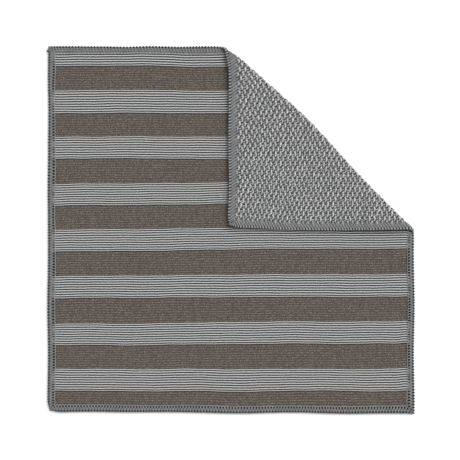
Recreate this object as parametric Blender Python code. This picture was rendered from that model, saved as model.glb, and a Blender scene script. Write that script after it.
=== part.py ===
"""A knitted microfiber dish cloth, 300 mm square, lying flat with one corner folded over onto its front.

The cloth is drawn as a flat sheet with its ribbed front up, centred on the origin, with +X to its
right and +Y to its top edge. Its top right corner is then rolled back over the front.
"""

from math import cos, exp, hypot, pi, sin, sqrt

import bmesh
import bpy
from mathutils import Matrix, Vector

MM = 0.001
SAME_PLACE = 0.001 * MM  # points this near a cut lie on it

# The edged cloth, before it is folded
WIDTH = 300.0 * MM
HEIGHT = 300.4 * MM
PANEL_THICK = 2.6 * MM

# The ribbed grey bands of the front, from the top edge down; the rest is smooth and brown
GREY_BANDS = (
    # foot and top above the middle, ribs
    (133.7 * MM, 142.14 * MM, 5),
    (95.65 * MM, 114.15 * MM, 10),
    (58.25 * MM, 76.45 * MM, 10),
    (21.2 * MM, 38.75 * MM, 10),
    (-16.3 * MM, 1.55 * MM, 10),
    (-55.1 * MM, -36.75 * MM, 10),
    (-93.6 * MM, -75.7 * MM, 10),
    (-131.95 * MM, -113.65 * MM, 10),
)
END_RIB = 1.25 * MM  # a band's first and last rib are narrower
RIB_RISE = 0.35 * MM

# Overlock sewing, whose thread wraps the thinned rim of the panel as a channel
SEWN_WIDTH = 5.9 * MM
SEWN_HIGH = 3.4 * MM
SEWN_WALL = 0.6 * MM
SEWN_EASE = 0.5 * MM  # the chamfer of the sewing's outer corners
GAP = 0.3 * MM
RIM_LOW = SEWN_WALL + GAP  # both up from the surface and in from the cloth's edge
RIM_HIGH = SEWN_HIGH - SEWN_WALL - GAP
RIM_ENDS = SEWN_WIDTH + 0.22 * MM  # the rim slopes to the panel's full thickness from here
PANEL_STARTS = RIM_ENDS + GAP

# Lines where the sheet may bend, besides those of the stripes and of the fold
COLUMNS = 8
CORNER_LINES = (3.2 * MM, 9.0 * MM)  # in from each edge

# How unevenly the cloth lies: how far each height's stripe rises from left to right
LEAN_FROM = -100.0 * MM
LEAN_TO = 50.0 * MM
LEANS = (
    # height, rise
    (-150.2 * MM, -1.4 * MM),
    (-132.6 * MM, -0.5 * MM),
    (-113.3 * MM, 0.0 * MM),
    (-94.4 * MM, 1.2 * MM),
    (-75.5 * MM, 1.8 * MM),
    (-55.7 * MM, 0.8 * MM),
    (-36.7 * MM, 1.2 * MM),
    (-17.5 * MM, 1.9 * MM),
    (19.9 * MM, 1.7 * MM),
    (38.7 * MM, 1.3 * MM),
    (57.6 * MM, -0.9 * MM),
    (85.0 * MM, 0.0 * MM),
    (133.0 * MM, -1.6 * MM),
    (150.2 * MM, -0.6 * MM),
)
RIPPLE = 0.3 * MM
RIPPLE_LENGTH = 82.0 * MM
CORNER_REACH = 6.0 * MM
CORNERS = (
    # side across, side up, how far the sewing draws the corner in
    (-1, -1, 2.8 * MM),
    (1, -1, 0.5 * MM),
    (-1, 1, 0.6 * MM),
    (1, 1, 2.6 * MM),
)

# The fold: its outline runs between two places on the cloth's edges, bowed outwards
FOLD_TOP = Vector((-1.9 * MM, 150.2 * MM))
FOLD_SIDE = Vector((150.0 * MM, 0.2 * MM))
FOLD_RADIUS = 2.6 * MM  # of the panel's middle round the fold
FOLD_STEPS = 6
BOW_LEAST = 0.4 * MM
BOW_MOST = 3.4 * MM
BOW_PLACE = 0.41  # along the fold, as a share of its length
BOW_SPREAD = 0.22
TOP_DIP = 2.6 * MM  # how far the fold is drawn in where it leaves the top edge
TOP_DIP_SPREAD = 10.0 * MM
FLAP_LINES = (10.0 * MM, 30.0 * MM)  # where the flap may bend, past the roll
FLAP_SINK = 1.1 * MM
FLAP_SINKS_OVER = 30.0 * MM
FLAP_REACH = 98.0 * MM  # from the roll to the flap's corner
FLAP_PULL = -8.4 * MM  # how far the flap's corner is pulled out sideways
FLAP_SAG = -1.2 * MM  # how far that corner sags towards the bottom edge
FLAP_BELLY = -0.85 * MM  # and how far the middle of the flap's lower edge does
BELLY_PLACE = 0.4
BELLY_SPREAD = 0.18
LIFT = 1.3 * MM  # of the flap's lower edge, near the right end of the fold
LIFT_HEIGHT = 30.0 * MM
LIFT_SPREAD = 24.0 * MM

ALONG = (FOLD_SIDE - FOLD_TOP).normalized()
OUT = Vector((-ALONG.y, ALONG.x))
FOLD_LENGTH = (FOLD_SIDE - FOLD_TOP).length
ROLLED = pi * FOLD_RADIUS
MIDDLE = PANEL_THICK / 2

GREY_YARN = (0.246, 0.246, 0.250, 1.0)
BROWN_YARN = (0.133, 0.109, 0.093, 1.0)
EDGE_THREAD = (0.165, 0.168, 0.172, 1.0)


def eased(share):
    """Rises smoothly from 0 to 1 as share does."""
    share = min(max(share, 0.0), 1.0)
    return share * share * (3 - 2 * share)


def lean_at(height):
    """How far a stripe at this height rises from left to right."""
    for (low, low_rise), (high, high_rise) in zip(LEANS, LEANS[1:]):
        if height <= high:
            share = max((height - low) / (high - low), 0.0)
            return low_rise + (high_rise - low_rise) * share
    return LEANS[-1][1]


def uneven(point):
    """Where a point of the cut sheet lies once the cloth is put down, before it is folded."""
    x, y, z = point
    lean = lean_at(y) * (eased((x - LEAN_FROM) / (LEAN_TO - LEAN_FROM)) - 0.5)
    wave_x = RIPPLE * x / (WIDTH / 2) * sin(2 * pi * y / RIPPLE_LENGTH)
    wave_y = RIPPLE * y / (HEIGHT / 2) * sin(2 * pi * x / RIPPLE_LENGTH + 1)
    moved = Vector((x + wave_x, y + lean + wave_y, z))
    for across, up, pull in CORNERS:
        away = hypot(x - across * WIDTH / 2, y - up * HEIGHT / 2)
        drawn = pull * exp(-((away / CORNER_REACH) ** 2)) / sqrt(2)
        moved -= Vector((across * drawn, up * drawn, 0))
    return moved


def bow(along):
    """How far the fold's outline stands out from the straight line between its ends."""
    place = along / FOLD_LENGTH - BOW_PLACE
    dip = TOP_DIP * exp(-((along / TOP_DIP_SPREAD) ** 2))
    return BOW_LEAST + BOW_MOST * exp(-((place / BOW_SPREAD) ** 2)) - dip


def fold_place(point):
    """How far along the fold a point of the sheet is, and how far past the start of its roll."""
    flat = Vector((point.x, point.y)) - FOLD_TOP
    along = flat.dot(ALONG)
    roll_starts = bow(along) - FOLD_RADIUS - MIDDLE
    return along, flat.dot(OUT) - roll_starts, roll_starts


def folded(point):
    """Where a point of the sheet goes when the corner is rolled back over the front."""
    along, past, out = fold_place(point)
    if past <= 0:
        return point.copy()
    above = point.z - MIDDLE
    height = MIDDLE + FOLD_RADIUS
    pulled = Vector((0, 0))
    if past <= ROLLED:
        turn = past / FOLD_RADIUS
        out += (FOLD_RADIUS - above) * sin(turn)
        height -= (FOLD_RADIUS - above) * cos(turn)
    else:
        past -= ROLLED
        out -= past
        share = past / FLAP_REACH
        pulled.x = FLAP_PULL * share * (1.5 - 0.5 * share)
        belly = FLAP_BELLY * exp(-(((share - BELLY_PLACE) / BELLY_SPREAD) ** 2))
        pulled.y = belly + FLAP_SAG * share**8
        height += FOLD_RADIUS - above - FLAP_SINK * eased(past / FLAP_SINKS_OVER)
        edge_away = (WIDTH / 2 - point.x) / LIFT_SPREAD
        place_away = (point.y - LIFT_HEIGHT) / LIFT_SPREAD
        height += LIFT * exp(-(edge_away**2) - place_away**2) * eased(past / FLAP_LINES[0])
    place = FOLD_TOP + ALONG * along + OUT * out + pulled
    return Vector((place.x, place.y, height))


def score(bm, geometry, place, normal):
    """Draw a line of new edges where a plane crosses this geometry.

    Returns the geometry with the line in it, and the line's points.
    """
    found = bmesh.ops.bisect_plane(
        bm, geom=geometry, dist=SAME_PLACE, plane_co=place, plane_no=normal
    )
    line = [item for item in found["geom_cut"] if isinstance(item, bmesh.types.BMVert)]
    return found["geom"], line


def score_all(bm, place, normal):
    score(bm, bm.verts[:] + bm.edges[:] + bm.faces[:], place, normal)


def rib_lines(foot, top, ribs):
    """(height, rise) of the crests of a band's ribs and of the grooves between them."""
    pitch = (top - foot - 2 * END_RIB) / (ribs - 2)
    grooves = [foot] + [foot + END_RIB + i * pitch for i in range(ribs - 1)] + [top]
    lines = []
    for low, high in zip(grooves, grooves[1:]):
        lines.append(((low + high) / 2, RIB_RISE))
        if high < top:
            lines.append((high, 0.0))
    return lines


def score_sheet(bm):
    """The bends that the panel and its sewing share: columns, stripes and lines near the edges."""
    for i in range(1, COLUMNS):
        score_all(bm, (WIDTH * (i / COLUMNS - 0.5), 0, 0), (1, 0, 0))
    for foot, top, _ in GREY_BANDS:
        score_all(bm, (0, foot, 0), (0, 1, 0))
        score_all(bm, (0, top, 0), (0, 1, 0))
    for inset in CORNER_LINES:
        for side in (-1, 1):
            score_all(bm, (side * (WIDTH / 2 - inset), 0, 0), (1, 0, 0))
            score_all(bm, (0, side * (HEIGHT / 2 - inset), 0), (0, 1, 0))


def lay_down(bm):
    """Put a flat piece of the sheet down unevenly and fold its corner over."""
    for vert in bm.verts:
        vert.co = uneven(vert.co)
    out = Vector((OUT.x, OUT.y, 0))
    for vert in bm.verts:
        vert.co -= out * bow(fold_place(vert.co)[0])
    start = Vector((FOLD_TOP.x, FOLD_TOP.y, 0)) - out * (FOLD_RADIUS + MIDDLE)
    bends = [ROLLED * i / FOLD_STEPS for i in range(FOLD_STEPS + 1)]
    bends += [ROLLED + past for past in FLAP_LINES]
    for bend in bends:
        score_all(bm, start + out * bend, out)
    for vert in bm.verts:
        vert.co += out * bow(fold_place(vert.co)[0])
    for vert in bm.verts:
        vert.co = folded(vert.co)
    bmesh.ops.recalc_face_normals(bm, faces=bm.faces)


def material(name, colour, roughness):
    made = bpy.data.materials.new(name)
    made.use_nodes = True
    shader = made.node_tree.nodes["Principled BSDF"]
    shader.inputs["Base Color"].default_value = colour
    shader.inputs["Roughness"].default_value = roughness
    shader.inputs["Metallic"].default_value = 0.0
    return made


def add_piece(name, bm, materials, collection):
    mesh = bpy.data.meshes.new(name)
    bm.to_mesh(mesh)
    bm.free()
    for each in materials:
        mesh.materials.append(each)
    piece = bpy.data.objects.new(name, mesh)
    collection.objects.link(piece)
    return piece


def knit_cloth():
    """The knitted panel: full thickness inside the sewing, and a thinner rim inside its channel."""
    bm = bmesh.new()
    bmesh.ops.create_cube(bm, size=1.0)
    size = (WIDTH - 2 * RIM_LOW, HEIGHT - 2 * RIM_LOW, 1.0)
    bmesh.ops.scale(bm, vec=size, verts=bm.verts)
    score_sheet(bm)
    for inset in (RIM_ENDS, PANEL_STARTS):
        for side in (-1, 1):
            score_all(bm, (side * (WIDTH / 2 - inset), 0, 0), (1, 0, 0))
            score_all(bm, (0, side * (HEIGHT / 2 - inset), 0), (0, 1, 0))
    for vert in bm.verts:
        front = vert.co.z > 0
        inset = min(WIDTH / 2 - abs(vert.co.x), HEIGHT / 2 - abs(vert.co.y))
        if inset < (RIM_ENDS + PANEL_STARTS) / 2:
            vert.co.z = RIM_HIGH if front else RIM_LOW
        else:
            vert.co.z = PANEL_THICK if front else 0.0
    for foot, top, ribs in GREY_BANDS:
        raise_ribs(bm, foot, top, ribs)
    colour_stripes(bm)
    lay_down(bm)
    return bm


def on_panel_front(face):
    """Whether a face of the flat sheet is on the front and inside the sewing."""
    middle = face.calc_center_median()
    inset = min(WIDTH / 2 - abs(middle.x), HEIGHT / 2 - abs(middle.y))
    return middle.z > PANEL_THICK - SAME_PLACE and inset > PANEL_STARTS


def raise_ribs(bm, foot, top, ribs):
    """Raise the ribs of one grey band; they run out where the sewing presses them down."""
    faces = [f for f in bm.faces if on_panel_front(f) and foot < f.calc_center_median().y < top]
    edges = dict.fromkeys(edge for face in faces for edge in face.edges)
    verts = dict.fromkeys(vert for face in faces for vert in face.verts)
    band = [*verts, *edges, *faces]
    for height, rise in rib_lines(foot, top, ribs):
        band, line = score(bm, band, (0, height, 0), (0, 1, 0))
        for vert in line:
            inset = WIDTH / 2 - abs(vert.co.x) - PANEL_STARTS
            share = min(max(inset / (CORNER_LINES[-1] - PANEL_STARTS), 0.0), 1.0)
            vert.co.z = PANEL_THICK + rise * share


def colour_stripes(bm):
    """Give the brown bands of the front the second material."""
    for face in bm.faces:
        height = face.calc_center_median().y
        ribbed = any(foot < height < top for foot, top, _ in GREY_BANDS)
        if on_panel_front(face) and height < GREY_BANDS[0][0] and not ribbed:
            face.material_index = 1


def overlock(away, length, quarter_turns):
    """One run of overlock sewing: a channel round the rim, mitred at both ends.

    It is drawn along the bottom edge, this far from the cloth's middle, and turned to its own edge.
    """
    ease = SEWN_EASE
    profile = (
        # in from the edge, height
        (SEWN_WIDTH, 0.0),
        (ease, 0.0),
        (0.0, ease),
        (0.0, SEWN_HIGH - ease),
        (ease, SEWN_HIGH),
        (SEWN_WIDTH, SEWN_HIGH),
        (SEWN_WIDTH, SEWN_HIGH - SEWN_WALL),
        (SEWN_WALL, SEWN_HIGH - SEWN_WALL),
        (SEWN_WALL, SEWN_WALL),
        (SEWN_WIDTH, SEWN_WALL),
    )
    bm = bmesh.new()
    section = [bm.verts.new((-length / 2, inset, height)) for inset, height in profile]
    outline = [bm.edges.new(ends) for ends in zip(section, section[1:] + section[:1])]
    bmesh.ops.edgeloop_fill(bm, edges=outline)
    drawn = bmesh.ops.extrude_face_region(bm, geom=bm.faces[:], use_keep_orig=True)
    far = [item for item in drawn["geom"] if isinstance(item, bmesh.types.BMVert)]
    bmesh.ops.translate(bm, vec=(length, 0, 0), verts=far)
    for vert in bm.verts:
        cut_back = vert.co.y + GAP / sqrt(2)
        vert.co.x += cut_back if vert.co.x < 0 else -cut_back
    bmesh.ops.translate(bm, vec=(0, -away, 0), verts=bm.verts)
    turn = Matrix.Rotation(quarter_turns * pi / 2, 3, "Z")
    bmesh.ops.rotate(bm, cent=(0, 0, 0), matrix=turn, verts=bm.verts)
    score_sheet(bm)
    lay_down(bm)
    return bm


def main():
    for old in list(bpy.data.objects):
        bpy.data.objects.remove(old)
    cloth = bpy.data.collections.new("microfiber_cloth")
    bpy.context.scene.collection.children.link(cloth)
    grey = material("grey_yarn", GREY_YARN, 0.9)
    brown = material("brown_yarn", BROWN_YARN, 0.9)
    thread = material("edge_thread", EDGE_THREAD, 0.8)

    add_piece("knit_cloth", knit_cloth(), (grey, brown), cloth)
    runs = (
        # name, distance from the middle, length, quarter turns from the bottom edge
        ("overlock_bottom", HEIGHT / 2, WIDTH, 0),
        ("overlock_right", WIDTH / 2, HEIGHT, 1),
        ("overlock_top", HEIGHT / 2, WIDTH, 2),
        ("overlock_left", WIDTH / 2, HEIGHT, 3),
    )
    for name, away, length, quarter_turns in runs:
        add_piece(name, overlock(away, length, quarter_turns), (thread,), cloth)


main()
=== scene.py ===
"""A knitted microfiber dish cloth that lies flat, with its top right corner folded over its front.

Every piece of yarn and thread is drawn on the flat, cut cloth, in millimetres, with the front up,
and is then laid down and folded by one rule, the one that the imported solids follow.
"""

from math import ceil, cos, pi, radians, sin, sqrt

import bmesh
import bpy
import numpy as np
from mathutils import Matrix, Vector


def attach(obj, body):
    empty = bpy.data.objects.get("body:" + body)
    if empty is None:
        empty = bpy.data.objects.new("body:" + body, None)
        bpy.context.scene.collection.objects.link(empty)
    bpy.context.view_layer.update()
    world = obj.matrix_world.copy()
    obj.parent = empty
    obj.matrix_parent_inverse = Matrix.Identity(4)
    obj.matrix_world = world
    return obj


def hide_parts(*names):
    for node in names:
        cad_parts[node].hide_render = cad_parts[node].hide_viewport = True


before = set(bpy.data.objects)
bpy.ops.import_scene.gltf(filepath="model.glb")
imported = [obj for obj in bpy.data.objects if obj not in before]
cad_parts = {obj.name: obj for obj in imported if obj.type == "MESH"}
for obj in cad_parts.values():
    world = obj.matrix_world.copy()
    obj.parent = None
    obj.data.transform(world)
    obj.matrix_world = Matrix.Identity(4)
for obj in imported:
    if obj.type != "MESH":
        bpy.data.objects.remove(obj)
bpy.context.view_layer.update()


# The knitted panel. It is one double-faced sheet of microfiber, as it comes off the knitting
# machine: bands of round grey ribs and bands of flat brown knit in front, and a grey ground
# behind that carries the loops. The overlock sewing presses its rim thin.
MM = 0.001
WIDTH, HEIGHT = 300.0, 300.4
THICK = 2.6
MIDDLE = THICK / 2

# The stripes lean, each by its own amount, between these two places across the cloth.
LEAN_FROM, LEAN_TO = -100.0, 50.0
LEANS = (
    # height on the cloth, how far the stripe there rises from left to right
    (-150.2, -1.4),
    (-132.6, -0.5),
    (-113.3, 0.0),
    (-94.4, 1.2),
    (-75.5, 1.8),
    (-55.7, 0.8),
    (-36.7, 1.2),
    (-17.5, 1.9),
    (19.9, 1.7),
    (38.7, 1.3),
    (57.6, -0.9),
    (85.0, 0.0),
    (133.0, -1.6),
    (150.2, -0.6),
)
# The cut edges waver by this much, in waves of this length.
RIPPLE, RIPPLE_LENGTH = 0.3, 82.0
CORNER_REACH = 6.0
CORNERS = (
    # side across, side up, how far the sewing draws the corner in
    (-1, -1, 2.8),
    (1, -1, 0.5),
    (-1, 1, 0.6),
    (1, 1, 2.6),
)

# The fold runs from the top edge to the right one. Its roll bows outwards between them, and the
# top edge dips beside it.
FOLD_TOP = np.array((-1.9, 150.2))
FOLD_SIDE = np.array((150.0, 0.2))
FOLD_LENGTH = np.linalg.norm(FOLD_SIDE - FOLD_TOP)
ALONG = (FOLD_SIDE - FOLD_TOP) / FOLD_LENGTH
OUT = np.array((-ALONG[1], ALONG[0]))
FOLD_RADIUS = 2.6
ROLLED = pi * FOLD_RADIUS
BOW_LEAST, BOW_MOST, BOW_PLACE, BOW_SPREAD = 0.4, 3.4, 0.41, 0.22
TOP_DIP, TOP_DIP_SPREAD = 2.6, 10.0

# Past the roll the corner sinks onto the front. It is pulled to the left, the more so the nearer to
# its tip, swells downwards midway and hangs at its tip, and stands off the front near the right edge.
FLAP_SINK, FLAP_SINKS_OVER = 1.1, 30.0
FLAP_REACH = 98.0
FLAP_PULL, PULL_BEND = -8.4, 0.5
FLAP_SAG, SAG_POWER = -1.2, 8
FLAP_BELLY, BELLY_PLACE, BELLY_SPREAD = -0.85, 0.4, 0.18
LIFT, LIFT_HEIGHT, LIFT_SPREAD, LIFT_STARTS = 1.3, 30.0, 24.0, 10.0


def eased(share):
    """Rises smoothly from 0 to 1 as share does."""
    share = np.clip(share, 0.0, 1.0)
    return share * share * (3 - 2 * share)


def uneven(flat):
    """Where points of the flat cloth lie once it is put down, before it is folded."""
    x, y, z = flat.T
    lean = np.interp(y, *zip(*LEANS)) * (eased((x - LEAN_FROM) / (LEAN_TO - LEAN_FROM)) - 0.5)
    turn = 2 * pi / RIPPLE_LENGTH
    new_x = x + RIPPLE * x / (WIDTH / 2) * np.sin(turn * y)
    new_y = y + lean + RIPPLE * y / (HEIGHT / 2) * np.sin(turn * x + 1)
    for across, up, pull in CORNERS:
        away = np.hypot(x - across * WIDTH / 2, y - up * HEIGHT / 2)
        drawn = pull * np.exp(-((away / CORNER_REACH) ** 2)) / sqrt(2)
        new_x -= across * drawn
        new_y -= up * drawn
    return np.column_stack((new_x, new_y, z))


def fold_place(put):
    """How far along the fold points are, where its roll starts there, and how far past that they are."""
    from_top = put[:, :2] - FOLD_TOP
    along = from_top @ ALONG
    place = along / FOLD_LENGTH - BOW_PLACE
    dip = TOP_DIP * np.exp(-((along / TOP_DIP_SPREAD) ** 2))
    starts = BOW_LEAST + BOW_MOST * np.exp(-((place / BOW_SPREAD) ** 2)) - dip - FOLD_RADIUS - MIDDLE
    return along, starts, from_top @ OUT - starts


def laid(flat):
    """Where points of the flat cloth are once its corner is rolled back over it, in metres."""
    put = uneven(flat)
    along, starts, past = fold_place(put)
    turn = np.clip(past, 0.0, ROLLED) / FOLD_RADIUS
    flap = np.maximum(past - ROLLED, 0.0)
    inner = FOLD_RADIUS + MIDDLE - put[:, 2]
    out = starts + np.minimum(past, 0.0) + inner * np.sin(turn) - flap
    height = MIDDLE + FOLD_RADIUS - inner * np.cos(turn)
    height -= FLAP_SINK * eased(flap / FLAP_SINKS_OVER)
    edge_away = (WIDTH / 2 - put[:, 0]) / LIFT_SPREAD
    place_away = (put[:, 1] - LIFT_HEIGHT) / LIFT_SPREAD
    height += LIFT * np.exp(-(edge_away**2) - place_away**2) * eased(flap / LIFT_STARTS)
    share = flap / FLAP_REACH
    x, y = (FOLD_TOP + np.outer(along, ALONG) + np.outer(out, OUT)).T
    x += FLAP_PULL * share * (1 + PULL_BEND - PULL_BEND * share)
    y += FLAP_BELLY * np.exp(-(((share - BELLY_PLACE) / BELLY_SPREAD) ** 2)) * (share > 0)
    y += FLAP_SAG * share**SAG_POWER
    return np.column_stack((x, y, height)) * MM


# How far in the panel's rim lies, how high its front is there, and how far in it is pressed.
RIM_INSET, RIM_FRONT, PANEL_FULL = 1.5, 2.1, 7.2
GREY_BANDS = (
    # foot and top of each
    (-131.95, -113.65),
    (-93.6, -75.7),
    (-55.1, -36.75),
    (-16.3, 1.55),
    (21.2, 38.75),
    (58.25, 76.45),
    (95.65, 114.15),
    (133.7, HEIGHT / 2 - RIM_INSET),
)
RIB_PITCH, END_RIB = 1.98, 1.25
COURSE_PITCH = 1.9
STITCH_LENGTH = 2.0
KNITS = {
    # rows of points in each course, its groove, its crest, material slot
    "rib": ((0.0, 0.13, 0.37, 0.63, 0.87), 2.15, 2.95, 0),
    "plain": ((0.0, 0.3, 0.7), 2.26, 2.46, 1),
}
CREST_ROUNDNESS = 0.6
# The narrow channel at a grey band's foot, and the light that is left at a band's foot and in it.
STEP_WIDTH, STEP_HIGH = 0.7, 1.95
FOOT_SHADE, STEP_SHADE = 0.72, 0.6
# Where in its own width a grey band's first rib begins, and where its last one ends.
FIRST_RIB, LAST_RIB = 0.25, 0.78
# The height of the grey ground, which has one row of points for so many of the front.
GROUND = 1.0
GROUND_EVERY = 9
# Columns of points: these far in from the left and right edges, and so many evenly between.
COLUMN_INSETS = (RIM_INSET, 3.2, 4.6, 6.0, 7.4)
COLUMNS, COLUMNS_START = 100, 9.6
WAVER = (
    # how far the courses waver, over what length along them and across them
    (0.13, 9.1, 17.0),
    (0.09, 3.9, 5.3),
)
END_DROOPS = (
    # side, how far the courses rise where they meet the sewing below and above, over what length
    (-1, 0.3, -0.5, 9.0),
    (1, 0.8, 0.3, 4.5),
)
DROOP_FROM, DROOP_TO = -85.0, -50.0
# The courses rise to one low hump near the bottom: how far, where, and its reach across and up.
HUMP, HUMP_PLACE, HUMP_REACH = 1.1, (77.0, -133.0), (28.0, 14.0)
# The turned-over corner's soft shade on the front, beside it, below it and right under its edge:
# the most light that it takes, where it starts and over what length it grows, and the same across.
BESIDE, BESIDE_FROM, BESIDE_OVER = 0.25, -9.0, 8.0
BELOW, BELOW_FROM, BELOW_OVER, BELOW_STARTS, BELOW_STARTS_OVER = 0.1, -6.5, 4.0, -4.0, 10.0
UNDER, UNDER_FROM, UNDER_OVER, UNDER_STARTS, UNDER_STARTS_OVER = 0.85, -1.8, 1.3, 20.0, 80.0


def plain_courses(low, high):
    """The grooves of a brown band's courses."""
    return np.linspace(low, high, round((high - low) / COURSE_PITCH) + 1)


def rib_courses(low, high):
    """The grooves of a grey band's ribs, the first and last of which are narrower."""
    first, last = low + END_RIB, high - END_RIB
    return np.array([low, *np.linspace(first, last, round((last - first) / RIB_PITCH) + 1), high])


bands = []
height = -HEIGHT / 2 + RIM_INSET
for foot, top in GREY_BANDS:
    bands.append(("plain", plain_courses(height, foot - STEP_WIDTH)))
    bands.append(("rib", rib_courses(foot, top)))
    height = top

rows = []
course = 0
for knit, grooves in bands:
    shares, groove, crest, slot = KNITS[knit]
    for low, high in zip(grooves, grooves[1:]):
        starts = FIRST_RIB if knit == "rib" and low == grooves[0] else 0.0
        ends = LAST_RIB if knit == "rib" and high == grooves[-1] else 1.0
        for share in shares:
            rise = groove + (crest - groove) * sin(pi * share) ** CREST_ROUNDNESS
            light = FOOT_SHADE if low == grooves[0] and share == 0.0 else 1.0
            along = starts + share * (ends - starts)
            rows.append((low + share * (high - low), rise, course + along, slot, light))
        course += 1
    if knit == "plain":
        rows.append((grooves[-1], groove, course, slot, 1.0))
        rows.append((grooves[-1] + STEP_WIDTH / 2, STEP_HIGH, course, slot, STEP_SHADE))
rows.append((height, KNITS["rib"][1], course, 0, 1.0))
row_height, row_rise, row_course, row_slot, row_light = (np.array(each) for each in zip(*rows))

left_columns = -WIDTH / 2 + np.array(COLUMN_INSETS)
inner_columns = np.linspace(-WIDTH / 2 + COLUMNS_START, WIDTH / 2 - COLUMNS_START, COLUMNS)
columns = np.concatenate((left_columns, inner_columns, -left_columns[::-1]))


def panel_points(heights, rises):
    """The points of one face of the panel, row by row, wavering a little as knitting does."""
    x, y = (each.ravel() for each in np.meshgrid(columns, heights))
    z = np.repeat(rises, len(columns))
    inset = np.minimum(WIDTH / 2 - abs(x), HEIGHT / 2 - abs(y))
    press = eased((inset - RIM_INSET) / (PANEL_FULL - RIM_INSET))
    moved = sum(size * np.sin(x / length + 2 * np.sin(y / reach)) for size, length, reach in WAVER)
    for side, rise_below, rise_above, length in END_DROOPS:
        higher = eased((y - DROOP_FROM) / (DROOP_TO - DROOP_FROM))
        rise = rise_below + (rise_above - rise_below) * higher
        moved = moved + rise * np.exp(-(((WIDTH / 2 - PANEL_FULL - side * x) / length) ** 2))
    hump_x, hump_y = (x - HUMP_PLACE[0]) / HUMP_REACH[0], (y - HUMP_PLACE[1]) / HUMP_REACH[1]
    moved = moved + HUMP * np.exp(-(hump_x**2) - hump_y**2)
    return np.column_stack((x, y + moved * press, RIM_FRONT + (z - RIM_FRONT) * press)), press


front, front_press = panel_points(row_height, row_rise)
front_light = np.minimum(front_press, row_light.repeat(len(columns)))
ground_rows = sorted({*range(0, len(rows), GROUND_EVERY), len(rows) - 1})
ground, ground_press = panel_points(row_height[ground_rows], np.zeros(len(ground_rows)))
ground[:, 2] = GROUND

across = len(columns)
faces, slots = [], []
for j in range(len(rows) - 1):
    for i in range(across - 1):
        corner = j * across + i
        faces.append((corner, corner + 1, corner + across + 1, corner + across))
        slots.append(int(row_slot[j]))
for j in range(len(ground_rows) - 1):
    for i in range(across - 1):
        corner = len(front) + j * across + i
        faces.append((corner, corner + across, corner + across + 1, corner + 1))
for i in range(across - 1):
    low = len(front) + i
    faces.append((low, low + 1, i + 1, i))
    high, top = len(front) + len(ground) - across + i, len(front) - across + i
    faces.append((high + 1, high, top, top + 1))
for k, (low, high) in enumerate(zip(ground_rows, ground_rows[1:])):
    behind = len(front) + k * across
    left = [j * across for j in range(low, high + 1)]
    faces.append((*left, behind + across, behind))
    right = [j * across + across - 1 for j in range(high, low - 1, -1)]
    faces.append((*right, behind + across - 1, behind + 2 * across - 1))
slots += [2] * (len(faces) - len(slots))


def mesh_object(name, points, faces, slots, materials):
    """A smooth mesh of the flat cloth's points, laid down and folded."""
    mesh = bpy.data.meshes.new(name)
    mesh.from_pydata(laid(points), [], faces)
    mesh.polygons.foreach_set("material_index", slots)
    mesh.shade_smooth()
    for each in materials:
        mesh.materials.append(each)
    made = bpy.data.objects.new(name, mesh)
    bpy.context.scene.collection.objects.link(made)
    return made


def mark(piece, name, values):
    """Give each point of a piece a number that its material reads."""
    piece.data.attributes.new(name, "FLOAT", "POINT").data.foreach_set("value", values)


def map_knit(piece, across, up):
    """Give a piece a UV map that counts stitches across and courses up."""
    corners = np.empty(len(piece.data.loops), dtype=np.int32)
    piece.data.loops.foreach_get("vertex_index", corners)
    knit_map = piece.data.uv_layers.new(name="knit")
    knit_map.data.foreach_set("uv", np.column_stack((across[corners], up[corners])).ravel())


def yarn(name, roughness, sheen):
    """A material for yarn, and the helper that adds its nodes."""
    made = bpy.data.materials.new(name)
    made.use_nodes = True
    shader = made.node_tree.nodes["Principled BSDF"]
    shader.inputs["Roughness"].default_value = roughness
    shader.inputs["Sheen Weight"].default_value = sheen
    shader.inputs["Specular IOR Level"].default_value = 0.2

    def add(kind, sockets, **settings):
        node = made.node_tree.nodes.new("ShaderNode" + kind)
        for setting, value in settings.items():
            setattr(node, setting, value)
        for socket, value in sockets.items():
            if isinstance(value, bpy.types.NodeSocket):
                made.node_tree.links.new(value, node.inputs[socket])
            else:
                node.inputs[socket].default_value = value
        return node

    return made, shader, add


def mixed(add, share, low, high):
    """A colour that goes from low to high as share goes from 0 to 1."""
    node = add("Mix", {0: share}, data_type="RGBA")
    for socket, value in ((6, low), (7, high)):
        if isinstance(value, bpy.types.NodeSocket):
            node.id_data.links.new(value, node.inputs[socket])
        else:
            node.inputs[socket].default_value = (*value, 1.0)
    return node.outputs[2]


def shaded(add, colour, share, least, most, low=0.0, high=1.0):
    """A colour scaled from least to most as share goes from low to high."""
    span = {"Value": share, "From Min": low, "From Max": high, "To Min": least, "To Max": most}
    scale = add("MapRange", span)
    tinted = add("VectorMath", {0: colour, "Scale": scale.outputs[0]}, operation="SCALE")
    return tinted.outputs[0]


def finish_yarn(made, shader, add, colour, relief, depth):
    """Connect a yarn's colour and its fine relief, whose depth is given in millimetres."""
    bump = add("Bump", {"Height": relief, "Distance": depth * MM, "Strength": 1.0})
    made.node_tree.links.new(colour, shader.inputs["Base Color"])
    made.node_tree.links.new(bump.outputs[0], shader.inputs["Normal"])


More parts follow.
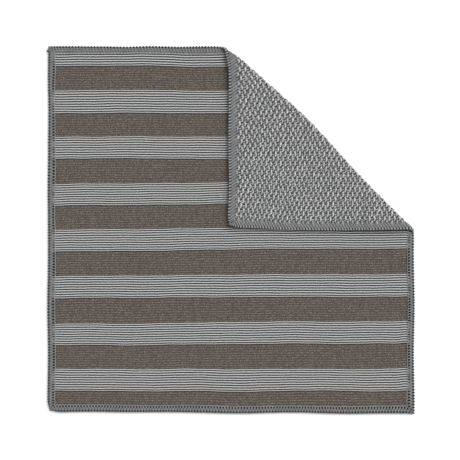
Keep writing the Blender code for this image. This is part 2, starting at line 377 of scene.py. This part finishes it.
def course_edge(add, sway):
    """The knit's own coordinates, and how near a point is to the swaying groove by its course."""
    knit = add("UVMap", {}, uv_map="knit").outputs[0]
    spread = add("Mapping", {"Vector": knit, "Scale": (1.5, 0.45, 1)})
    drift = add("TexNoise", {"Vector": spread.outputs[0], "Scale": 1.0, "Detail": 2.0}).outputs[0]
    up = add("SeparateXYZ", {0: knit}).outputs[1]
    moved = add("Math", {0: drift, 1: 2 * sway, 2: up}, operation="MULTIPLY_ADD").outputs[0]
    back = add("Math", {0: moved, 1: sway}, operation="SUBTRACT").outputs[0]
    share = add("Math", {0: back}, operation="FRACT").outputs[0]
    centred = add("Math", {0: share, 1: 2.0, 2: -1.0}, operation="MULTIPLY_ADD").outputs[0]
    return knit, add("Math", {0: centred}, operation="ABSOLUTE").outputs[0]


def in_shade(add, colour, least):
    """The colour darkened under the sewing, beside the ribs and along the turned-over corner."""
    cover = add("Attribute", {}, attribute_name="cover").outputs["Fac"]
    colour = shaded(add, colour, cover, 1.0, 0.0)
    light = add("Attribute", {}, attribute_name="light").outputs["Fac"]
    return shaded(add, colour, light, least, 1.0, 0.6, 0.95)


def rib_yarn():
    """Light grey yarn laid along the rib, its fine strands slanting, dark down in the grooves, where
    the yarn is darker and painted shade deepens it.
    """
    made, shader, add = yarn("rib_yarn", 0.85, 0.25)
    knit, edge = course_edge(add, 0.15)
    slant = (0, 0, radians(-32))
    strands = add("Mapping", {"Vector": knit, "Rotation": slant, "Scale": (2.0, 6.5, 1)})
    fine = add("TexNoise", {"Vector": strands.outputs[0], "Scale": 1.0, "Detail": 3.0})
    coarse = add("Mapping", {"Vector": knit, "Scale": (1.3, 1.1, 1)})
    patch = add("TexNoise", {"Vector": coarse.outputs[0], "Scale": 1.0, "Detail": 2.0})
    uneven_edge = add("Math", {0: patch.outputs[0], 1: 0.18, 2: -0.06}, operation="MULTIPLY_ADD")
    near = add("Math", {0: edge, 1: uneven_edge.outputs[0]}, operation="ADD").outputs[0]
    # Down in the grooves: the darker yarn there, deepened by painted shade.
    span = {"Value": near, "From Min": 0.2, "From Max": 0.75}
    dark = add("MapRange", span, interpolation_type="SMOOTHSTEP")
    colour = mixed(add, dark.outputs[0], (0.44, 0.441, 0.443), (0.02, 0.021, 0.022))
    colour = shaded(add, colour, fine.outputs[0], 0.62, 1.38, 0.33, 0.67)
    colour = in_shade(add, colour, 0.6)
    finish_yarn(made, shader, add, colour, fine.outputs[0], 0.25)
    return made


def plain_yarn():
    """Heathered brown knit: staggered stitches of lighter and darker taupe."""
    made, shader, add = yarn("plain_yarn", 0.9, 0.15)
    knit, edge = course_edge(add, 0.3)
    stitches = add(
        "TexBrick",
        {
            "Vector": knit,
            "Scale": 1.0,
            "Color1": (1.0, 1.0, 1.0, 1),
            "Color2": (0.0, 0.0, 0.0, 1),
            "Mortar": (0.0, 0.0, 0.0, 1),
            "Mortar Size": 0.06,
            "Mortar Smooth": 0.5,
            "Brick Width": 0.55,
            "Row Height": 1.0,
        },
    )
    grain = add("Mapping", {"Vector": knit, "Scale": (2.9, 2.7, 1)})
    tufts = {"Vector": grain.outputs[0], "Scale": 1.0, "Detail": 1.0, "Roughness": 0.7}
    heather = add("TexNoise", tufts)
    dye = add("TexNoise", {"Vector": knit, "Scale": 1.1, "Detail": 1.0})
    span = {"Value": dye.outputs[0], "From Min": 0.38, "From Max": 0.62}
    cast = add("MapRange", span)
    colour = mixed(add, cast.outputs[0], (0.103, 0.08, 0.077), (0.1, 0.089, 0.066))
    colour = shaded(add, colour, heather.outputs[0], 0.3, 1.75, 0.37, 0.63)
    colour = shaded(add, colour, stitches.outputs[0], 0.75, 1.25)
    # Painted shade along the grooves between the courses, and painted light midway between them.
    colour = shaded(add, colour, edge, 1.25, 0.55)
    colour = in_shade(add, colour, 0.15)
    finish_yarn(made, shader, add, colour, heather.outputs[0], 0.2)
    return made


def ground_yarn():
    """The grey ground behind the loops, in their shade."""
    made, shader, add = yarn("ground_yarn", 0.9, 0.1)
    place = add("TexCoord", {}).outputs["Object"]
    fuzz = add("TexNoise", {"Vector": place, "Scale": 900.0, "Detail": 3.0})
    colour = mixed(add, fuzz.outputs[0], (0.025, 0.026, 0.027), (0.08, 0.081, 0.083))
    finish_yarn(made, shader, add, colour, fuzz.outputs[0], 0.2)
    return made


def covered(x, y):
    """How much of the light the turned-over corner takes from the front along its two edges."""
    beside = BESIDE * eased((x - BESIDE_FROM) / BESIDE_OVER) * (y > UNDER_FROM)
    below = BELOW * eased((y - BELOW_FROM) / BELOW_OVER)
    below *= eased((x - BELOW_STARTS) / BELOW_STARTS_OVER)
    under = UNDER * eased((y - UNDER_FROM) / UNDER_OVER)
    under *= eased((x - UNDER_STARTS) / UNDER_STARTS_OVER)
    return np.maximum(np.maximum(beside, below), under)


panel = mesh_object(
    "knitted_panel",
    np.vstack((front, ground)),
    faces,
    slots,
    (rib_yarn(), plain_yarn(), ground_yarn()),
)
stitches_across = np.concatenate((front[:, 0], ground[:, 0])) / STITCH_LENGTH
courses_up = np.concatenate((row_course, row_course[ground_rows])).repeat(across)
map_knit(panel, stitches_across, courses_up)
mark(panel, "light", np.concatenate((front_light, ground_press)))
mark(panel, "cover", np.concatenate((covered(front[:, 0], front[:, 1]), np.zeros(len(ground)))))
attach(panel, "root")
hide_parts("knit_cloth")


# The loops of the grey back. Its microfiber yarn is drawn out into rows of plump loops that lean a
# little, each with two thinner strands beside it, and every second row is staggered by half a loop.
# Under the cloth they are pressed flat.
LOOP_ACROSS, LOOP_UP, LOOP_SHEAR = 3.81, 3.84, -0.087
LOOP_FLATNESS = 0.62
LOOP_STRANDS = (
    # sides, then points of the strand as one sees it on the turned-over corner:
    # to the right, up, out of the cloth, thickness
    (
        6,
        (
            (-0.05, -2.5, -0.4, 0.5),
            (-0.1, -1.6, 0.3, 0.74),
            (0.25, -0.6, 0.6, 0.8),
            (0.05, 0.3, 0.65, 0.82),
            (-0.35, 1.2, 0.45, 0.76),
            (0.0, 2.2, -0.2, 0.5),
        ),
    ),
    (
        4,
        (
            (0.0, 1.3, 0.1, 0.4),
            (0.6, 1.75, 0.15, 0.44),
            (1.2, 2.0, 0.1, 0.44),
            (1.8, 2.3, -0.3, 0.35),
        ),
    ),
    (
        4,
        (
            (0.8, -1.0, -0.2, 0.35),
            (1.55, -0.65, 0.25, 0.5),
            (2.25, -0.3, 0.25, 0.5),
            (3.0, 0.15, -0.2, 0.35),
        ),
    ),
)
PRESSED_STRANDS = ((4, LOOP_STRANDS[0][1][::2] + LOOP_STRANDS[0][1][-1:]),)
LOOPS_START = 5.0
LOOPS_STRAY, STRAY_SEED = 0.12, 5
# The sewing holds the outermost loops down by this share of their height, and less farther in, and by
# the same share they get painted shade.
SEWN_DOWN, SEWN_DOWN_OVER = 0.4, 4.5
# Between these heights out of the cloth, painted shade on the loops lightens from darkest to lightest.
LOOP_LOWEST, LOOP_HIGHEST = -0.9, 1.3
# Loops are drawn in full from this far before the roll, where they begin to show.
LOOPS_SHOW = -6.0
FLOOR_CLEAR = 0.03
TURN_JITTER, SIZE_JITTER = radians(9), 0.03


def tube(bm, path, sides):
    """Add a closed tube of yarn along (x, y, z, radius) points, counting its UV round and along."""
    knit_map = bm.loops.layers.uv.verify()
    places = [Vector(point[:3]) for point in path]
    side = None
    rings = []
    for k, (place, point) in enumerate(zip(places, path)):
        ahead = (places[min(k + 1, len(path) - 1)] - places[max(k - 1, 0)]).normalized()
        side = ahead.orthogonal() if side is None else side - ahead * side.dot(ahead)
        side.normalize()
        turns = [Matrix.Rotation(2 * pi * i / sides, 3, ahead) for i in range(sides)]
        rings.append([bm.verts.new(place + turn @ side * point[3]) for turn in turns])
    for k, (near, far) in enumerate(zip(rings, rings[1:])):
        for i in range(sides):
            j = (i + 1) % sides
            face = bm.faces.new((near[i], near[j], far[j], far[i]))
            corners = ((i, k), (i + 1, k), (i + 1, k + 1), (i, k + 1))
            for loop, (round_it, along_it) in zip(face.loops, corners):
                loop[knit_map].uv = (round_it / sides, along_it / (len(rings) - 1))
    bm.faces.new(list(reversed(rings[0])))
    bm.faces.new(rings[-1])


def loop_unit(name, strands):
    """One loop as it stands on the back of the flat cloth."""
    bm = bmesh.new()
    shade = bm.verts.layers.float.new("shade")
    for sides, path in strands:
        tube(bm, path, sides)
    for vert in bm.verts:
        right, up, out = vert.co
        # Painted shade: the lower a point lies on the loop, the darker it is painted.
        vert[shade] = (out - LOOP_LOWEST) / (LOOP_HIGHEST - LOOP_LOWEST)
        vert.co = (-up, -right, -out * LOOP_FLATNESS)
    mesh = bpy.data.meshes.new(name)
    bm.to_mesh(mesh)
    bm.free()
    return bpy.data.objects.new(name, mesh)


def repeat_tree():
    """Geometry Nodes that put a stitch on every point, each turned, sized and tinted a little."""
    tree = bpy.data.node_groups.new("repeat_stitch", "GeometryNodeTree")
    tree.interface.new_socket("Places", in_out="INPUT", socket_type="NodeSocketGeometry")
    tree.interface.new_socket("Stitch", in_out="INPUT", socket_type="NodeSocketObject")
    tree.interface.new_socket("Turn", in_out="INPUT", socket_type="NodeSocketFloat")
    tree.interface.new_socket("Size", in_out="INPUT", socket_type="NodeSocketFloat")
    tree.interface.new_socket("Seed", in_out="INPUT", socket_type="NodeSocketInt")
    tree.interface.new_socket("Yarn", in_out="INPUT", socket_type="NodeSocketMaterial")
    tree.interface.new_socket("Stitches", in_out="OUTPUT", socket_type="NodeSocketGeometry")

    def add(kind, *links, **settings):
        node = tree.nodes.new(kind)
        for setting, value in settings.items():
            setattr(node, setting, value)
        for socket, source in links:
            tree.links.new(source, node.inputs[socket])
        return node

    given = add("NodeGroupInput").outputs
    stitch = add("GeometryNodeObjectInfo", ("Object", given["Stitch"]))
    least_turn = add("ShaderNodeMath", (0, given["Turn"]), operation="MULTIPLY")
    least_turn.inputs[1].default_value = -1.0
    turn = add(
        "FunctionNodeRandomValue",
        (2, least_turn.outputs[0]),
        (3, given["Turn"]),
        ("Seed", given["Seed"]),
    )
    upright = add("ShaderNodeCombineXYZ", ("Z", turn.outputs[1]))
    least_size = add("ShaderNodeMath", (1, given["Size"]), operation="SUBTRACT")
    least_size.inputs[0].default_value = 1.0
    most_size = add("ShaderNodeMath", (1, given["Size"]), operation="ADD")
    most_size.inputs[0].default_value = 1.0
    next_seed = add("ShaderNodeMath", (0, given["Seed"]), operation="ADD")
    next_seed.inputs[1].default_value = 1.0
    size = add(
        "FunctionNodeRandomValue",
        (2, least_size.outputs[0]),
        (3, most_size.outputs[0]),
        ("Seed", next_seed.outputs[0]),
    )
    placed = add(
        "GeometryNodeInstanceOnPoints",
        ("Points", given["Places"]),
        ("Instance", stitch.outputs["Geometry"]),
        ("Rotation", upright.outputs[0]),
        ("Scale", size.outputs[1]),
    )
    tint = add("FunctionNodeRandomValue", ("Seed", given["Seed"]))
    tinted = add(
        "GeometryNodeStoreNamedAttribute",
        ("Geometry", placed.outputs[0]),
        ("Value", tint.outputs[1]),
        domain="INSTANCE",
    )
    tinted.inputs["Name"].default_value = "tint"
    real = add("GeometryNodeRealizeInstances", ("Geometry", tinted.outputs[0]))
    dyed = add("GeometryNodeSetMaterial", ("Geometry", real.outputs[0]), ("Material", given["Yarn"]))
    add("NodeGroupOutput", ("Stitches", dyed.outputs[0]))
    return tree


stitch_tree = repeat_tree()


def repeated(name, places, unit, made, turn, size, seed):
    """A plain mesh object of one stitch at every place, still on the flat cloth."""
    points = bpy.data.meshes.new(name + "_places")
    points.from_pydata(places, [], [])
    holder = bpy.data.objects.new(name, points)
    bpy.context.scene.collection.objects.link(holder)
    bpy.context.scene.collection.objects.link(unit)
    nodes = holder.modifiers.new("repeat", "NODES")
    nodes.node_group = stitch_tree
    values = {"Stitch": unit, "Turn": turn, "Size": size, "Seed": seed, "Yarn": made}
    for socket in stitch_tree.interface.items_tree:
        if socket.name in values:
            nodes[socket.identifier] = values[socket.name]
    evaluated = holder.evaluated_get(bpy.context.evaluated_depsgraph_get())
    mesh = bpy.data.meshes.new_from_object(evaluated)
    holder.modifiers.remove(nodes)
    holder.data = mesh
    mesh.shade_smooth()
    bpy.data.meshes.remove(points)
    bpy.data.objects.remove(unit)
    return holder


def flat_points(mesh):
    flat = np.empty(len(mesh.vertices) * 3)
    mesh.vertices.foreach_get("co", flat)
    return flat.reshape(-1, 3)


def loop_yarn():
    """Plump grey yarn whose strands run along the loop."""
    made, shader, add = yarn("loop_yarn", 0.85, 0.3)
    knit = add("UVMap", {}, uv_map="UVMap").outputs[0]
    tint = add("Attribute", {}, attribute_name="tint").outputs["Fac"]
    shift = add("CombineXYZ", {"X": tint, "Y": tint}).outputs[0]
    apart = add("VectorMath", {0: knit, 1: (9.0, 1.4, 1.0), 2: shift}, operation="MULTIPLY_ADD")
    strands = add("TexNoise", {"Vector": apart.outputs[0], "Scale": 1.0, "Detail": 2.0})
    place = add("TexCoord", {}).outputs["Object"]
    patch = add("TexNoise", {"Vector": place, "Scale": 1250.0, "Detail": 1.0})
    colour = mixed(add, strands.outputs[0], (0.2, 0.201, 0.203), (0.44, 0.442, 0.445))
    colour = shaded(add, colour, patch.outputs[0], 0.25, 1.85, 0.3, 0.7)
    colour = shaded(add, colour, tint, 0.96, 1.04)
    # Painted shade, darker where a loop lies low or is held down by the sewing.
    depth = add("Attribute", {}, attribute_name="shade").outputs["Fac"]
    colour = shaded(add, colour, depth, 0.2, 1.1, 0.1, 0.8)
    finish_yarn(made, shader, add, colour, strands.outputs[0], 0.3)
    return made


back_yarn = loop_yarn()
across_count = ceil((WIDTH / 2 - LOOPS_START) / LOOP_ACROSS)
up_count = ceil((HEIGHT / 2 - LOOP_SHEAR * WIDTH / 2) / LOOP_UP)
loop_places = np.array(
    [
        (i * LOOP_ACROSS, (j + i % 2 / 2) * LOOP_UP + i * LOOP_ACROSS * LOOP_SHEAR, GROUND)
        for i in range(-across_count, across_count + 1)
        for j in range(-up_count, up_count + 1)
    ]
)
inset = np.minimum(WIDTH / 2 - abs(loop_places[:, 0]), HEIGHT / 2 - abs(loop_places[:, 1]))
loop_places = loop_places[inset > LOOPS_START]
chance = np.random.default_rng(STRAY_SEED)
loop_places[:, :2] += chance.uniform(-LOOPS_STRAY, LOOPS_STRAY, (len(loop_places), 2))
past_roll = fold_place(uneven(loop_places))[2]
for name, places, strands, seed in (
    ("loops_turned_over", loop_places[past_roll > LOOPS_SHOW], LOOP_STRANDS, 11),
    ("loops_underneath", loop_places[past_roll <= LOOPS_SHOW], PRESSED_STRANDS, 12),
):
    unit = loop_unit(name + "_unit", strands)
    loops = repeated(name, places, unit, back_yarn, TURN_JITTER, SIZE_JITTER, seed)
    flat = flat_points(loops.data)
    inset = np.minimum(WIDTH / 2 - abs(flat[:, 0]), HEIGHT / 2 - abs(flat[:, 1]))
    stands = 1.0 - SEWN_DOWN * (1.0 - eased((inset - LOOPS_START) / SEWN_DOWN_OVER))
    flat[:, 2] = np.maximum(GROUND + (flat[:, 2] - GROUND) * stands, FLOOR_CLEAR)
    # Loops held down by the sewing get painted shade by the same share.
    shade = np.empty(len(flat))
    loops.data.attributes["shade"].data.foreach_get("value", shade)
    loops.data.attributes["shade"].data.foreach_set("value", shade * stands)
    loops.data.vertices.foreach_set("co", laid(flat).ravel())
    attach(loops, "root")
    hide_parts("knit_cloth")


# The overlock sewing round the four edges, of matt grey sewing thread. One thread lies across the
# front in a row of eyelets, a second one slants over the back, and a darker one locks the two where
# they meet round the edge. Under them the rim is wrapped in finer thread.
LOOPER_STEPS, LOOPER_SIDES = 11, 5
LOCK_SIDES, BACK_SIDES = 5, 4
LOOPER_THICK, EYELET_THIN = 0.42, 0.13
LOOPER_MIDDLE, LOOPER_REACH = 3.1, 2.3
LOOPER_HIGH, LOOPER_WEAVE = 2.85, 0.15
# Nearer to the edge than this, the front thread goes down round the rim, by this much at most.
WRAP_FROM, WRAP_DROP = 1.7, 1.05
BACK_STRANDS = (
    # brightness, which paints light on the one thread above 1 and shade below 1, then in from the edge,
    # height, stitches along the edge, thickness
    (
        1.8,
        (
            (0.9, 2.1, 0.0, 0.35),
            (0.6, 1.35, 0.0, 0.6),
            (0.6, 0.7, 0.0, 0.68),
            (1.05, 0.5, 0.05, 0.5),
            (1.6, 0.75, 0.2, 0.3),
        ),
    ),
    (
        1.1,
        (
            (1.0, 0.8, 0.05, 0.3),
            (1.5, 0.55, 0.2, 0.5),
            (3.3, 0.5, 0.75, 0.46),
            (5.3, 0.5, 1.35, 0.4),
            (6.3, 0.9, 1.6, 0.3),
        ),
    ),
    (
        0.7,
        (
            (2.0, 0.75, 0.6, 0.3),
            (3.5, 0.55, 1.1, 0.44),
            (5.0, 0.6, 1.6, 0.4),
            (5.8, 1.0, 1.8, 0.3),
        ),
    ),
)
FRONT_LOCKS = {
    # the dark knots on the edge, or laid in slots behind a rim made pale by painted light: the same
    # measures
    "beads": (
        (1.7, 2.8, 0.1, 0.3),
        (1.2, 3.1, 0.05, 0.68),
        (0.6, 2.7, 0.0, 0.74),
        (0.65, 1.6, 0.0, 0.45),
    ),
    "slots": (
        (2.05, 2.8, 0.0, 0.25),
        (1.7, 3.2, 0.0, 0.55),
        (1.1, 3.2, 0.0, 0.68),
        (0.6, 2.5, 0.0, 0.35),
    ),
}
BACK_LOCK = (
    # the dark thread behind: the same measures
    (0.8, 0.85, 0.35, 0.3),
    (1.15, 0.5, 0.5, 0.48),
    (1.5, 0.5, 0.62, 0.42),
    (1.8, 0.8, 0.72, 0.25),
)
LOCK_SHADE = 0.03
# How much painted light brightens the tips of the eyelets, and how near to the tips that is.
EYELET_LIGHT, EYELET_LIGHT_POWER = 0.15, 4
# The strand along the rim of runs with slots, and the painted light that makes it pale.
RIM_STRAND = ((0.7, 2.7, -0.05, 0.42), (0.6, 2.85, 0.5, 0.46), (0.7, 2.7, 1.05, 0.42))
RIM_LIGHT = 1.2
WRAP_PROFILE = (
    # in from the edge, height
    (5.2, 0.6),
    (1.2, 0.55),
    (0.65, 0.85),
    (0.45, 1.6),
    (0.65, 2.35),
    (1.2, 2.85),
    (3.4, 2.85),
    (3.5, 2.45),
    (1.6, 2.35),
    (1.1, 1.7),
    (1.6, 0.95),
    (5.2, 0.8),
)
WRAP_STEP = 1.275
# A run narrows to its mitred ends over this length, and is cut this much short of a point.
MITRE, MITRE_LEFT = 6.5, 0.4


def looper_path(bulge, lean):
    """One stitch of the front looper: in from the edge, round an eyelet and back out."""
    points = []
    for step in range(LOOPER_STEPS):
        turn = 2 * pi * step / (LOOPER_STEPS - 1)
        inset = LOOPER_MIDDLE - LOOPER_REACH * cos(turn)
        along = turn / (2 * pi) + bulge * (sin(turn) - 0.5 * sin(2 * turn))
        along += lean * (1 - cos(turn)) / 2
        drop = WRAP_DROP * max(WRAP_FROM - inset, 0.0) / (WRAP_FROM - LOOPER_MIDDLE + LOOPER_REACH)
        thick = LOOPER_THICK - EYELET_THIN * (1 - cos(turn)) / 2
        points.append((inset, LOOPER_HIGH - drop + LOOPER_WEAVE * sin(turn), along, thick))
    return points


def overlock_unit(name, pitch, bulge, lean, knots):
    """One overlock stitch: along the edge in x, in from the edge in y, the front up."""
    bm = bmesh.new()
    shade = bm.verts.layers.float.new("shade")

    def sew(path, sides, light, more=0.0):
        made = len(bm.verts)
        tube(bm, [(along * pitch, inset, high, thick) for inset, high, along, thick in path], sides)
        bm.verts.ensure_lookup_table()
        for vert in bm.verts[made:]:
            near_tip = max(vert.co.y / (LOOPER_MIDDLE + LOOPER_REACH), 0.0)
            vert[shade] = light + more * near_tip**EYELET_LIGHT_POWER

    sew(looper_path(bulge, lean), LOOPER_SIDES, 1.0, EYELET_LIGHT)
    for light, path in BACK_STRANDS:
        sew(path, BACK_SIDES, light)
    sew(FRONT_LOCKS[knots], LOCK_SIDES, LOCK_SHADE)
    sew(BACK_LOCK, BACK_SIDES, LOCK_SHADE)
    if knots == "slots":
        sew(RIM_STRAND, BACK_SIDES, RIM_LIGHT)
    mesh = bpy.data.meshes.new(name)
    bm.to_mesh(mesh)
    bm.free()
    return bpy.data.objects.new(name, mesh)


def sewn_thread():
    """Grey sewing thread with fine twisted strands."""
    made, shader, add = yarn("sewn_thread", 0.75, 0.2)
    knit = add("UVMap", {}, uv_map="UVMap").outputs[0]
    slant = (0, 0, radians(35))
    twist = add("Mapping", {"Vector": knit, "Rotation": slant, "Scale": (5.0, 9.0, 1)})
    strands = add("TexNoise", {"Vector": twist.outputs[0], "Scale": 1.0, "Detail": 2.0})
    shade = add("Attribute", {}, attribute_name="shade").outputs["Fac"]
    tint = add("Attribute", {}, attribute_name="tint").outputs["Fac"]
    colour = mixed(add, strands.outputs[0], (0.15, 0.153, 0.157), (0.265, 0.268, 0.273))
    colour = shaded(add, colour, tint, 0.88, 1.12)
    # Shade: the locking thread's own dark colour, and painted light and shade on the other strands.
    colour = shaded(add, colour, shade, 0.0, 2.0, 0.0, 2.0)
    finish_yarn(made, shader, add, colour, strands.outputs[0], 0.12)
    return made


def wrapped_thread():
    """The finer thread that wraps the rim, its turns side by side across the edge."""
    made, shader, add = yarn("wrapped_thread", 0.8, 0.1)
    knit = add("UVMap", {}, uv_map="knit").outputs[0]
    turns = add("TexWave", {"Vector": knit, "Scale": 0.7, "Distortion": 1.5, "Detail": 2.0})
    colour = mixed(add, turns.outputs["Fac"], (0.12, 0.122, 0.125), (0.175, 0.177, 0.18))
    finish_yarn(made, shader, add, colour, turns.outputs["Fac"], 0.1)
    return made


def on_edge(run, length, away, quarter_turns):
    """Flat points of a run, drawn along the edge, mitred at the corners and turned to their edge."""
    along, inset, high = run.T
    along = np.clip(along, -length / 2, length / 2)
    room = length / 2 - abs(along)
    inset = inset * np.minimum((room + MITRE_LEFT) / (MITRE + MITRE_LEFT), 1.0)
    x, y = along, inset - away
    for _ in range(quarter_turns):
        x, y = -y, x
    return np.column_stack((x, y, high))


thread = sewn_thread()
wrapping = wrapped_thread()
RUNS = (
    # node, distance from the middle, length, how much wider than drawn at its start and later on,
    # then its stitch: length, swell of the eyelets, how far they lean, kind of knots;
    # each run is a quarter turn from the one before, and the first is the bottom one
    ("overlock_bottom", HEIGHT / 2, WIDTH, (1.27, 1.27), (2.38, 0.5, 0.0, "slots")),
    ("overlock_right", WIDTH / 2 + 0.35, HEIGHT, (1.3, 1.07), (2.32, 0.6, -0.25, "beads")),
    ("overlock_top", HEIGHT / 2 + 0.15, WIDTH, (1.22, 1.22), (2.58, 0.36, -0.55, "beads")),
    ("overlock_left", WIDTH / 2, HEIGHT, (1.2, 1.2), (2.33, 0.56, 0.0, "beads")),
)
NARROWS_OVER = 45.0
THREAD_JITTER = 0.02
# How far the stitches stray along the edge, and over what length.
STRAY, STRAY_LENGTH = 0.8, 21.0
DRAWN_REACH = 6.0
DRAWN_IN = {
    # where along a run its outer edge is pulled in, how far and over what length
    "overlock_bottom": ((50.0, 0.85, 45.0), (-65.0, 0.45, 20.0)),
    "overlock_right": (),
    "overlock_top": ((120.0, -0.35, 16.0), (84.0, 0.65, 12.0), (24.0, -0.5, 14.0)),
    "overlock_left": ((-98.0, 0.95, 20.0), (-15.0, 0.5, 18.0)),
}


def drawn_in(run, pulls):
    """A run with its outer edge pulled in where the sewing is tighter."""
    along, inset, high = run.T
    pulled = sum(pull * np.exp(-(((along - place) / reach) ** 2)) for place, pull, reach in pulls)
    new_inset = inset + pulled * np.maximum(1 - inset / DRAWN_REACH, 0.0)
    return np.column_stack((along, new_inset, high))


for quarter_turns, (node, away, length, widths, stitch) in enumerate(RUNS):
    pitch = stitch[0]
    count = round(length / pitch)
    places = [((i - count / 2) * pitch, 0, 0) for i in range(count)]
    unit = overlock_unit(node, *stitch)
    threads = repeated(node + "_threads", places, unit, thread, 0.0, THREAD_JITTER, quarter_turns)
    edge = flat_points(threads.data)
    edge[:, 0] += STRAY * np.sin(edge[:, 0] / STRAY_LENGTH + quarter_turns)
    later = eased((edge[:, 0] + length / 2) / NARROWS_OVER)
    edge[:, 1] *= widths[0] + (widths[1] - widths[0]) * later
    edge = on_edge(drawn_in(edge, DRAWN_IN[node]), length, away, quarter_turns)
    threads.data.vertices.foreach_set("co", laid(edge).ravel())

    stations = np.linspace(-length / 2, length / 2, round(length / WRAP_STEP) + 1)
    sides = len(WRAP_PROFILE)
    run = np.array([(along, *point) for along in stations for point in WRAP_PROFILE])
    wrap_faces = [tuple(range(sides)), tuple(reversed(range(len(run) - sides, len(run))))]
    for k in range(len(stations) - 1):
        for i in range(sides):
            j = (i + 1) % sides
            near, far = k * sides, (k + 1) * sides
            wrap_faces.append((near + j, near + i, far + i, far + j))
    flat = on_edge(drawn_in(run, DRAWN_IN[node]), length, away, quarter_turns)
    wrap = mesh_object(node + "_wrap", flat, wrap_faces, [0] * len(wrap_faces), (wrapping,))
    map_knit(wrap, run[:, 0], np.tile(np.arange(sides, dtype=float), len(stations)))
    for piece in (threads, wrap):
        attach(piece, "root")
        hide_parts(node)


# The knot that ends the sewing. The last of the dark grey locking thread is tied off, and its
# trimmed tail stands out just beside the top left corner.
KNOT_SIDES = 8
KNOT_PATH = (
    # across, up, height, thickness
    (-149.2, 145.6, 1.8, 0.4),
    (-150.2, 145.9, 1.7, 0.65),
    (-150.9, 146.4, 1.5, 0.6),
    (-151.3, 146.9, 1.2, 0.35),
)
bm = bmesh.new()
shade = bm.verts.layers.float.new("shade")
tube(bm, KNOT_PATH, KNOT_SIDES)
for vert in bm.verts:
    vert[shade] = LOCK_SHADE
knot_mesh = bpy.data.meshes.new("end_knot")
bm.to_mesh(knot_mesh)
bm.free()
knot_mesh.vertices.foreach_set("co", laid(flat_points(knot_mesh)).ravel())
knot_mesh.materials.append(thread)
knot_mesh.shade_smooth()
knot = bpy.data.objects.new("end_knot", knot_mesh)
bpy.context.scene.collection.objects.link(knot)
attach(knot, "root")


# The studio: a plain white floor, soft daylight from all round, and a broad lamp that stands
# beyond the cloth's top edge, to the right. The camera hangs straight over the middle.
FLOOR_SIZE = 12.0
LAMP_FROM = (0.65, 0.6, 1.05)
LAMP_STRENGTH = 2.05
LAMP_SPREAD = radians(24)
DAYLIGHT = 0.84
LENS, SENSOR = 85.0, 36.0
VIEW_MIDDLE = (-0.65 * MM, 0.04 * MM)
VIEW_WIDTH = 376.3 * MM

bpy.ops.mesh.primitive_plane_add(size=FLOOR_SIZE)
floor = bpy.context.object
floor.name = "floor"
floor_paint = bpy.data.materials.new("floor_paint")
floor_paint.use_nodes = True
paint = floor_paint.node_tree.nodes["Principled BSDF"]
paint.inputs["Base Color"].default_value = (0.97, 0.97, 0.97, 1)
paint.inputs["Roughness"].default_value = 0.9
floor.data.materials.append(floor_paint)

lamp_data = bpy.data.lights.new("lamp", "SUN")
lamp_data.energy = LAMP_STRENGTH
lamp_data.angle = LAMP_SPREAD
lamp = bpy.data.objects.new("lamp", lamp_data)
lamp.rotation_euler = Vector(LAMP_FROM).to_track_quat("Z", "Y").to_euler()
bpy.context.scene.collection.objects.link(lamp)

world = bpy.data.worlds.new("daylight")
world.use_nodes = True
world.node_tree.nodes["Background"].inputs["Color"].default_value = (1, 1, 1, 1)
world.node_tree.nodes["Background"].inputs["Strength"].default_value = DAYLIGHT
bpy.context.scene.world = world
bpy.context.scene.view_settings.view_transform = "Standard"

camera_data = bpy.data.cameras.new("camera")
camera_data.lens = LENS
camera_data.sensor_width = SENSOR
camera = bpy.data.objects.new("camera", camera_data)
camera.location = (*VIEW_MIDDLE, VIEW_WIDTH * LENS / SENSOR + THICK * MM)
bpy.context.scene.collection.objects.link(camera)
bpy.context.scene.camera = camera
